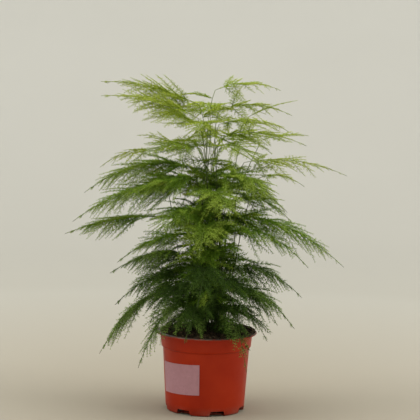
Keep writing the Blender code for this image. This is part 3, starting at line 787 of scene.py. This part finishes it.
class Curves:
    """Many short curves at once: point = foot + length (u start + u u curl), each in its own plane."""

    def __init__(self, foot, start, curl, up, length):
        self.foot, self.start, self.curl, self.up, self.length = foot, start, curl, up, length

    def at(self, which, u):
        """Points, directions, left and up of the curves numbered in which, at shares u."""
        u = u[:, None]
        start, curl = self.start[which], self.curl[which]
        points = self.foot[which] + self.length[which, None] * (u * start + u * u * curl)
        along = unit(start + 2 * u * curl)
        left = unit(np.cross(self.up[which], along))
        return points, along, left, np.cross(along, left)


def rolled(up, along, angle):
    """Directions up turned about the directions along: cos a up + sin a (along x up)."""
    return np.cos(angle) * up + np.sin(angle) * np.cross(along, up)


def side_branches(lines, draw):
    """The side branches, two to eight to a node of the CAD frond: its own branch, one a little further
    on at the opposite side, and up to six loose ones turned well up or down out of their plane. They
    are numbered in that order, which is their kind, and share is how far along the rachis they are."""
    frond, tier = lines.frond, lines.tier
    kinds = 2 + (LOOSE_BRANCHES[tier] if frond.loose is None else frond.loose)
    number = np.arange(kinds * lines.count)
    number = number[(number % kinds == 0) | (number >= frond.bare * len(number))]
    pair, kind = number // kinds, number % kinds
    loose = kind > 1
    crowding, power = LOOSE_CROWDING, np.array(FALL)[np.minimum(kind, 2)]
    if frond.fall:
        crowding, power = 1.0, frond.fall
    share = np.minimum((pair + 0.5 + BETWEEN * kind) / lines.count, 1.0)
    share = np.where(loose, LOOSE_REACH * share**crowding, share)
    points, along = lines.rachis(between(FIRST_NODE, 1 - WHIP, share))
    left, up = lines.sides(along, lines.roll)
    own = lines.first_side * np.where(pair % 2, 1, -1)
    flip = np.where(pair % 4 < 2, 1, -1)
    side = own * np.choose(kind, [1, -1, flip, -flip, -flip, flip, flip, -flip])
    down = np.choose(kind, [1, 1, -1, 1, -1, 1, -1, -1])
    drawn = draw.uniform(-1, 1, (3, len(number)))

    near, far = np.array([(0, 0), LOOSE_LIFT, LOOSEST_LIFT])[np.minimum(kind, 2)].T
    turn = np.where(loose, down * between(LEAST_TURN, 1, abs(drawn[2])), drawn[2])
    upwards = np.where(turn > 0, frond.up, 1.0)
    lift = np.where(kind, between(near, far, share) * upwards * turn, lines.lift[pair])[:, None]
    stretch = np.where(kind, 0.93 + 0.13 * drawn[0], lines.stretch[pair])
    fill = np.where(kind, 1.0, between(0.5, 1.0, np.minimum(1.0, share / SPREAD_FROM)))
    fall = np.maximum(1 - share, 0) ** power
    length = lines.width * fill * fall * stretch * np.where(loose, LOOSE_LONGER, 1.0)
    length = np.maximum(length, SHORTEST_BRANCH * (1 - 0.4 * share))
    swing = np.where(kind, np.radians(5 * drawn[1]), lines.swing[pair])
    opened = np.where(loose, frond.swept or LOOSE_TURN[tier], 1.0)
    angle = ((between(*BRANCH_ANGLES, share) + swing) * opened)[:, None]

    outwards = np.cos(lift) * side[:, None] * left + np.sin(lift) * up
    start = np.cos(angle) * along + np.sin(angle) * outwards
    up = np.cos(lift) * up - np.sin(lift) * side[:, None] * left
    up = rolled(up, start, math.radians(ROLL[tier]) * draw.uniform(-1, 1, (len(number), 1)))
    curl = BRANCH_CURL * along - lines.sag * UP
    return Curves(points, start, curl, up, length), share


def stem_sprays(lines, draw):
    """Side branches round the stem below its bend, at even heights with a drawn shift: each starts
    outwards and a little up, a golden angle on from the one below, and its tip sags. The tallest stems
    bear a few more right under the bend."""
    pitch = STEM_SPRAY_PITCH[lines.tier]
    top = min(STEM_SPRAY_HIGH, lines.bend[2] - BELOW_BEND)
    count = max(1, round((top - STEM_SPRAY_LOW[lines.tier]) / pitch))
    heights = top - pitch * (np.arange(count) + draw.uniform(0, STEM_SPRAY_SHIFT, count))
    heights = np.append(heights, lines.bend[2] - draw.uniform(*CROWN_BAND, lines.frond.crown))
    count = len(heights)
    trial = np.linspace(0, 1, 60)
    share = np.interp(heights, lines.stem(trial)[0][:, 2], trial)
    points, _ = lines.stem(share)
    turn = draw.uniform(0, 2 * math.pi) + GOLDEN_TURN * np.arange(count)
    steeper = np.where(heights > STEM_SPRAY_HIGH, CROWN_RISE, 0)
    rise = np.radians(draw.uniform(*STEM_SPRAY_RISE, count) + steeper)
    start = np.stack([np.cos(turn) * np.cos(rise), np.sin(turn) * np.cos(rise), np.sin(rise)], axis=1)
    up = unit(UP - dots(UP, start) * start)
    up = rolled(up, start, math.radians(STEM_SPRAY_ROLL) * draw.uniform(-1, 1, (count, 1)))
    length = draw.uniform(*STEM_SPRAY_LENGTH[lines.tier], count)
    return Curves(points, start, np.tile(-(STEM_SPRAY_SAG + lines.sag) * UP, (count, 1)), up, length)


def spaced(lengths, pitch, first):
    """For curves of these lengths, a place every pitch: the curve's number and the share along it."""
    counts = np.maximum(1, np.round(lengths / pitch)).astype(int)
    which = np.repeat(np.arange(len(lengths)), counts)
    order = np.arange(len(which)) - np.repeat(np.cumsum(counts) - counts, counts)
    return which, (order + first) / counts[which], order


def branchlets(branches, tier, coarse, reach, draw):
    """Short branchlets to the left and right of each side branch in turn. The first are about half as
    long as the longest, at 14% of the branch, from where they shorten to nothing at its tip."""
    which, u, order = spaced(branches.length, BRANCHLET_PITCH * coarse, 0.55)
    points, along, left, up = branches.at(which, u)
    side = np.where((order + which) % 2, 1, -1)[:, None]
    angle = between(*BRANCHLET_ANGLES, u) + np.radians(draw.uniform(-7, 7, len(u)))
    lift = np.radians(TWIG_LIFT[tier] * draw.uniform(-1, 1, len(u)))[:, None]
    flat = np.cos(angle)[:, None] * along + np.sin(angle)[:, None] * side * left
    start = np.cos(lift) * flat + np.sin(lift) * up
    swell = (0.55 + 0.45 * np.minimum(1, u / 0.14)) * (1 - u) ** 0.65
    small = np.minimum(1, branches.length[which] / FULL_BRANCH) ** 0.6
    length = reach * BRANCHLET_LENGTH * swell * small * draw.uniform(*BRANCHLET_STRETCH, len(u))
    keep = length > SHORTEST_BRANCHLET
    made = Curves(points[keep], start[keep], BRANCHLET_CURL * along[keep], up[keep], length[keep])
    return made, which[keep], u[keep]


def tubes(points, left, up, halves, sides):
    """Closed tubes along many lines at once. points, left and up are lines by stations by xyz, and
    halves are the radii. The corners are point + r (cos a left + sin a up), with a fan at each end."""
    lines, stations = points.shape[:2]
    angles = 2 * math.pi * np.arange(sides) / sides
    way = np.cos(angles)[:, None] * left[:, :, None] + np.sin(angles)[:, None] * up[:, :, None]
    rings = points[:, :, None] + halves[:, :, None, None] * way
    made = np.concatenate([rings.reshape(lines, -1, 3), points[:, :1], points[:, -1:]], axis=1)
    faces = ring_faces(stations, sides) + (stations * sides + 2) * np.arange(lines)[:, None, None]
    return made.reshape(-1, 3), faces.reshape(-1, 3)


def needles(points, along, left, up, scale, tier, draw):
    """Tufts of needles: from each point several spikes lean forwards and out. A needle's direction is
    cos f along + sin f (cos a left + flatness sin a up), with f and a drawn, a evenly round."""
    scale = FINENESS[tier] * scale
    tufts = len(points)
    ahead = draw.normal(*NEEDLE_ANGLE, (tufts, TUFT_NEEDLES, 1))
    step = 2 * math.pi * np.arange(TUFT_NEEDLES) / TUFT_NEEDLES
    round_it = step[None, :, None] + draw.uniform(-0.5, 0.5, (tufts, TUFT_NEEDLES, 1))
    round_it = round_it + draw.uniform(0, 2 * math.pi, (tufts, 1, 1))
    out = np.cos(round_it) * left[:, None] + FLATNESS[tier] * np.sin(round_it) * up[:, None]
    way = unit(np.cos(ahead) * along[:, None] + np.sin(ahead) * out)
    length = draw.uniform(*NEEDLE_LENGTH, (tufts, TUFT_NEEDLES)) * scale[:, None]
    feet = np.repeat(points[:, None], TUFT_NEEDLES, axis=1).reshape(-1, 3)
    tips = feet + (length[..., None] * way).reshape(-1, 3)
    return spikes(feet, tips, np.repeat(NEEDLE_HALF * scale, TUFT_NEEDLES))


def feathers(branches, share, tier, coarse, reach, draw):
    """Side branches as (mesh, growth) pairs: their tubes, their branchlets, and the tufts on both. A
    tuft's growth rises from the foot to the tip of its frond, its branch and its branchlet, with a
    little noise. With coarse over 1 the tufts stand further apart and their needles are that much
    larger, and with reach over 1 the branchlets are longer."""
    count = len(branches.length)
    stations = np.linspace(0, 1, BRANCH_STATIONS)
    which, u = np.repeat(np.arange(count), BRANCH_STATIONS), np.tile(stations, count)
    spots, _, left, up = (a.reshape(count, BRANCH_STATIONS, 3) for a in branches.at(which, u))
    halves = np.tile(between(BRANCH_HALF, BRANCH_END_HALF, stations), (count, 1))
    stalks = tubes(spots, left, up, halves, BRANCH_SIDES)

    twigs, owner, along_branch = branchlets(branches, tier, coarse, reach, draw)
    ends = twigs.at(np.arange(len(owner)), np.ones(len(owner)))[0]
    twig_spikes = spikes(twigs.foot, ends, np.full(len(owner), BRANCHLET_HALF))

    which, u, _ = spaced(branches.length, TUFT_PITCH * coarse, 0.5)
    tone = 0.30 + 0.35 * share[which] + 0.35 * u + draw.normal(0, TONE_NOISE, len(u))
    size = coarse * (0.95 - 0.25 * u) * (1 - TIP_FINER * share[which])
    on_branches = needles(*branches.at(which, u), size, tier, draw)
    branch_tone = np.repeat(tone, TUFT_NEEDLES * SPIKE_POINTS)

    which, u, _ = spaced(twigs.length, TUFT_PITCH * coarse, 0.75)
    outer = 0.35 * share[owner[which]] + 0.35 * along_branch[which]
    tone = 0.34 + outer + 0.08 * u + draw.normal(0, TONE_NOISE, len(u))
    size = coarse * (1.0 - 0.15 * u - 0.25 * along_branch[which])
    size = size * (1 - TIP_FINER * share[owner[which]])
    on_twigs = needles(*twigs.at(which, u), size, tier, draw)
    twig_tone = np.repeat(tone, TUFT_NEEDLES * SPIKE_POINTS)
    wood = [(stalks, BRANCH_TONE), (twig_spikes, TWIG_TONE)]
    return wood + [(on_branches, branch_tone), (on_twigs, twig_tone)]


def stalk(lines):
    """The stem and rachis as one tube, from its plug in the soil over the bend to the tip."""
    climb, over = np.linspace(0, 1, 15), np.linspace(0, 1, 25)[1:]
    stem_points, stem_along = lines.stem(climb)
    rachis_points, rachis_along = lines.rachis(over)
    plug = (lines.root - UP * ROOT_PLUG)[None]
    points = np.concatenate([plug, stem_points, rachis_points])
    along = np.concatenate([UP[None], stem_along, rachis_along])
    roll = lines.roll * np.concatenate([[0], climb**3, np.ones(len(over))])[:, None]
    left, up = lines.sides(along, roll)
    stem_halves = between(STEM_HALF, RACHIS_HALF, climb)
    rachis_halves = between(RACHIS_HALF, RACHIS_END_HALF, over)
    halves = np.concatenate([[STEM_HALF], stem_halves, rachis_halves])
    return tubes(points[None], left[None], up[None], halves[None], STEM_SIDES)


def rachis_tufts(lines, draw):
    """Small tufts along the rachis itself, smaller towards its bare end, and their growth."""
    places = np.linspace(*RACHIS_TUFTED, int(lines.length / TUFT_PITCH * RACHIS_TUFTING))
    spots, heading = lines.rachis(places)
    left, up = lines.sides(heading, lines.roll)
    mesh = needles(spots, heading, left, up, between(*RACHIS_TUFT_SIZES, places), lines.tier, draw)
    return mesh, np.repeat(0.35 + 0.4 * places, TUFT_NEEDLES * SPIKE_POINTS)


def thorns(lines, draw):
    """The small hooked scales that a stem bears at its joints, turned any way and pointing down."""
    height = lines.bend[2] - lines.root[2]
    feet, heading = lines.stem(np.linspace(0.1, 0.95, int(height / THORN_PITCH)))
    left, _ = lines.sides(heading, draw.uniform(0, 2 * math.pi, (len(feet), 1)))
    tips = feet + THORN_OUT * left - THORN_DOWN * heading
    return spikes(feet, tips, np.full(len(feet), THORN_HALF))


def grow(lines, draw):
    """One frond's points, faces and growth, which is 0 for wiry stem and up to 1 for young needles."""
    parts = [(stalk(lines), 0.0), (thorns(lines, draw), THORN_TONE), rachis_tufts(lines, draw)]
    branches, share = side_branches(lines, draw)
    parts += feathers(branches, share, lines.tier, 1.0, 1.0, draw)
    inner = stem_sprays(lines, draw)
    low = np.full(len(inner.length), INNER_SHARE)
    parts += feathers(inner, low, lines.tier, STEM_SPRAY_COARSE, STEM_SPRAY_REACH, draw)
    growth = np.concatenate([np.broadcast_to(tone, len(mesh[0])) for mesh, tone in parts])
    aged = np.maximum(growth + lines.frond.age, LEAF_TONE)
    return *joined([mesh for mesh, _ in parts]), np.where(growth > LEAF_TONE, aged, growth)


# Each tier's greens by growth. The upper tier's are lighter and yellower, partly painted light shining
# through its fronds from above, and the lower tier's darker, partly painted shade under the tiers above;
# the rest is the fern's own green.
LEAF_COLOURS = {
    "upper": ((0.070, 0.150, 0.010), (0.29, 0.415, 0.020), (0.48, 0.57, 0.07)),
    "middle": ((0.075, 0.160, 0.011), (0.155, 0.300, 0.016), (0.45, 0.59, 0.08)),
    "lower": ((0.034, 0.074, 0.010), (0.074, 0.152, 0.017), (0.33, 0.50, 0.10)),
}
# Stem colours, dark and pale. The stems are dark up to the first height and pale above the second: painted
# shade low in the plant, under its foliage.
STEM_COLOURS = ((0.050, 0.070, 0.020), (0.22, 0.27, 0.10))
STEM_PAINTED_SHADE_HEIGHTS = (0.24, 0.34)
FINE_SEED = 1000
LIT = {
    "upper": (0.25, 0.34, -0.40, 0.18),
    "middle": (0.09, 0.30, -0.22, 0.10),
    "lower": (0.05, 0.20, -0.15, 0.10),
}


def frond_finish(tier):
    """Needles and stems: the growth attribute picks the green, which is lighter higher up in the
    light, and soft patches and flecks vary it."""
    finish = Finish(f"{tier}_fern_green")
    growth = finish.node("ShaderNodeAttribute", attribute_name="growth").outputs["Fac"]
    patches = finish.spread(finish.noise(30, detail=3), 0.3, 0.7, -0.14, 0.14)
    lit = finish.spread(finish.height(), *LIT[tier])
    flecks = finish.spread(finish.noise(500, detail=2), 0.3, 0.7, -0.06, 0.06)
    varied = finish.maths("ADD", finish.maths("ADD", growth, lit), finish.maths("ADD", patches, flecks))
    is_leaf = finish.spread(growth, 0.05, LEAF_TONE)
    green = finish.ramp(varied, (0.15, 0.55, 1.0), LEAF_COLOURS[tier])
    # Painted shade: the stems darker low down, under the foliage.
    stem = finish.blend(finish.spread(finish.height(), *STEM_PAINTED_SHADE_HEIGHTS), *STEM_COLOURS)
    finish.set("Base Color", finish.blend(is_leaf, stem, green))
    finish.set("Roughness", 0.6)
    finish.set("Specular IOR Level", 0.15)
    return finish.material


index = 0
for tier, fronds in TIERS.items():
    green = frond_finish(tier)
    for number, frond in enumerate(fronds, 1):
        node = f"{tier}_frond_{number:02d}"
        lines = Lines(frond, index, tier, stem_foot(node))
        points, faces, growth = grow(lines, np.random.default_rng(FINE_SEED + index))
        spray = add_piece(f"{tier}_spray_{number:02d}", points, faces, green)
        shades = spray.data.attributes.new("growth", "FLOAT", "POINT")
        shades.data.foreach_set("value", growth.astype(np.float32))
        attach(spray, "root")
        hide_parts(node)
        index += 1

# The studio
# A round seamless backdrop: a floor that curves up into a wall on all sides, as in a photo booth for
# plants, lit by large soft lights from both sides and above.

BACKDROP_FLAT = 1.4
BACKDROP_CURVE = 2.0
BACKDROP_TOP = 3.0
BACKDROP_STEPS = 24
BACKDROP_SEGMENTS = 96
BACKDROP_WHITES = ((0.755, 0.755, 0.715), (0.770, 0.770, 0.730))
# Painted shade on the floor: grey towards the middle, and a darker grey-brown close round the pot.
OUTER_FLOOR_SHADE = (0.475, 0.465, 0.415)
INNER_FLOOR_SHADE = (0.350, 0.315, 0.250)
LAMP_COLOUR = (1.0, 0.98, 0.94)
AIR_COLOUR = (1.0, 0.98, 0.93, 1.0)
AIR_STRENGTH = 0.7
SIDE_LAMPS_AIM = (0, 0.1, 0.2)


def backdrop_bowl():
    """A bowl: a flat disc, a quarter circle up, and a straight wall, turned about Z with its faces
    inwards. Only the floor has a pole, and the top is open to the room's light."""
    quarter = np.linspace(0, math.pi / 2, BACKDROP_STEPS)
    radius = np.concatenate([[0.35, 1.0], BACKDROP_FLAT + BACKDROP_CURVE * np.sin(quarter)])
    height = np.concatenate([[0.0, 0.0], BACKDROP_CURVE * (1 - np.cos(quarter))])
    radius = np.append(radius, radius[-1])[:, None]
    height = np.append(height, BACKDROP_TOP)[:, None]
    grid = ring_points(radius, height, BACKDROP_SEGMENTS)
    faces = ring_faces(len(radius), BACKDROP_SEGMENTS)[:-BACKDROP_SEGMENTS, ::-1]
    return np.concatenate([grid.reshape(-1, 3), np.zeros((1, 3))]), faces


def backdrop_finish():
    """Matt painted board, a warm pale grey with very faint blotches, and painted shade that makes it
    greyer in the middle, round the pot.
    """
    finish = Finish("backdrop_board")
    paint = finish.ramp(finish.noise(2.5, detail=2), (0.3, 0.7), BACKDROP_WHITES)
    # Painted shade: greyer from 3 m in and fully so within 1 m, then darker still from 0.9 m in towards
    # the pot.
    outer_shade = finish.spread(finish.radius(), 3.0, 1.0)
    inner_shade = finish.spread(finish.radius(), 0.9, 0.10)
    floor = finish.blend(outer_shade, paint, OUTER_FLOOR_SHADE)
    finish.set("Base Color", finish.blend(inner_shade, floor, INNER_FLOOR_SHADE))
    finish.set("Roughness", 0.9)
    finish.set("Specular IOR Level", 0.1)
    return finish.material


def soft_light(name, place, aim, size, watts):
    """A square area light at a place, turned to face a point."""
    data = bpy.data.lights.new(name, "AREA")
    data.size = size
    data.energy = watts
    data.color = LAMP_COLOUR
    light = bpy.data.objects.new(name, data)
    light.location = place
    towards = np.array(aim) - np.array(place)
    light.rotation_euler = (
        math.atan2(math.hypot(towards[0], towards[1]), -towards[2]),
        0.0,
        math.atan2(towards[1], towards[0]) - math.pi / 2,
    )
    bpy.context.scene.collection.objects.link(light)


add_piece("backdrop", *backdrop_bowl(), backdrop_finish())
soft_light("left_softbox", (-1.3, -0.2, 1.3), SIDE_LAMPS_AIM, 1.0, 11.5)
soft_light("right_softbox", (1.3, -0.2, 1.3), SIDE_LAMPS_AIM, 1.0, 11.5)
soft_light("overhead_softbox", (0, 0.3, 2.2), (0, 0.3, 0), 1.6, 22)
world = bpy.data.worlds.new("studio_air")
world.use_nodes = True
air = world.node_tree.nodes["Background"]
air.inputs["Color"].default_value = AIR_COLOUR
air.inputs["Strength"].default_value = AIR_STRENGTH
bpy.context.scene.world = world
bpy.context.scene.view_settings.view_transform = "Standard"

# The camera
# A long lens at leaf height, a step and a half in front, tilted down a little, as the photo was taken.

LENS = 124.1
SENSOR = 36.0
CAMERA_PLACE = (0.001, -1.698, 0.399)
CAMERA_PITCH = math.radians(5.44)
CAMERA_ROLL = math.radians(1.3)

lens = bpy.data.cameras.new("photo_camera")
lens.lens = LENS
lens.sensor_width = SENSOR
camera = bpy.data.objects.new("photo_camera", lens)
camera.location = CAMERA_PLACE
camera.rotation_mode = "QUATERNION"
pitched = Quaternion((1, 0, 0), math.pi / 2 - CAMERA_PITCH)
camera.rotation_quaternion = pitched @ Quaternion((0, 0, 1), CAMERA_ROLL)
bpy.context.scene.collection.objects.link(camera)
bpy.context.scene.camera = camera
